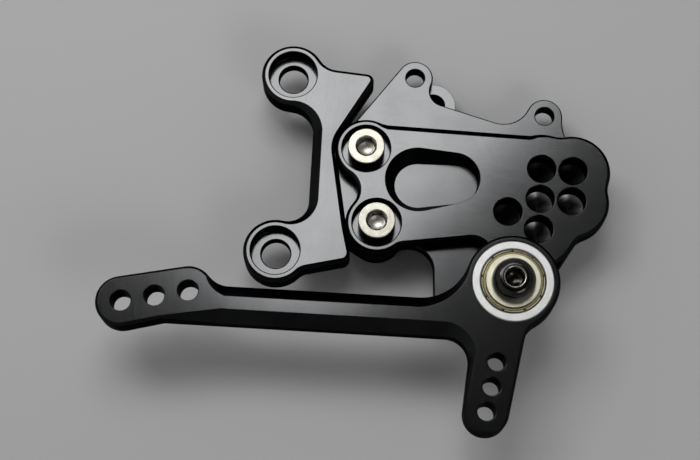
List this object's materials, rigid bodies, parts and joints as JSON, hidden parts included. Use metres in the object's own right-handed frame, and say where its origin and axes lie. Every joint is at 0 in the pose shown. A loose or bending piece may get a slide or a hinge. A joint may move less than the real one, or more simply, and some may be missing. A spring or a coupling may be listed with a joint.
{
  "type": "motorcycle rear set footrest bracket with shift lever",
  "caption": "Left rear set in black anodised aluminium: C-shaped frame bracket, back plate, peg plate with a slot and peg holes, and a shift lever swinging on a ball bearing.",
  "frame": {"origin": "midway between the two frame bolt holes, on the back face of the frame bracket", "axes": "+Z out of the bike towards the rider's foot, +X towards the rear along the plates, +Y up the bracket"},
  "size_m": [0.177, 0.1418, 0.0404],
  "materials": {
    "bracket_black": "satin black anodised",
    "plate_black": "satin black anodised",
    "lever_black": "satin black anodised",
    "bolt_steel": "bright stainless",
    "bearing_steel": "ground",
    "washer_steel": "bright turned",
    "shield_brass": "pressed",
    "screw_black": "black oxide"
  },
  "bodies": {
    "carrier": {"frame_bracket": "bracket_black", "back_plate": "plate_black", "peg_plate": "plate_black", "upper_clamp_bolt": "bolt_steel", "lower_clamp_bolt": "bolt_steel", "bearing_inner_ring": "bearing_steel", "pivot_sleeve": "bearing_steel", "pivot_washer": "washer_steel", "pivot_screw": "screw_black", "pivot_nut": "bolt_steel"},
    "lever": {"shift_lever": "lever_black", "bearing_outer_ring": "bearing_steel", "bearing_front_shield": "shield_brass", "bearing_rear_shield": "shield_brass"},
    "ball_set": {"bearing_balls": "bearing_steel", "bearing_cage": "shield_brass"}
  },
  "joints": [
    {"name": "lever_swing", "type": "hinge", "parent": "carrier", "child": "lever", "pos_m": [0.078, -0.0465, 0.019], "axis": [0, 0, 1], "range_deg": [-15, 15]},
    {"name": "ball_set_roll", "type": "hinge", "parent": "carrier", "child": "ball_set", "pos_m": [0.078, -0.0465, 0.019], "axis": [0, 0, 1], "range_deg": [-10, 10]}
  ],
  "couplings": [
    {"joint": "ball_set_roll", "follows": "lever_swing", "ratio": 0.6}
  ]
}
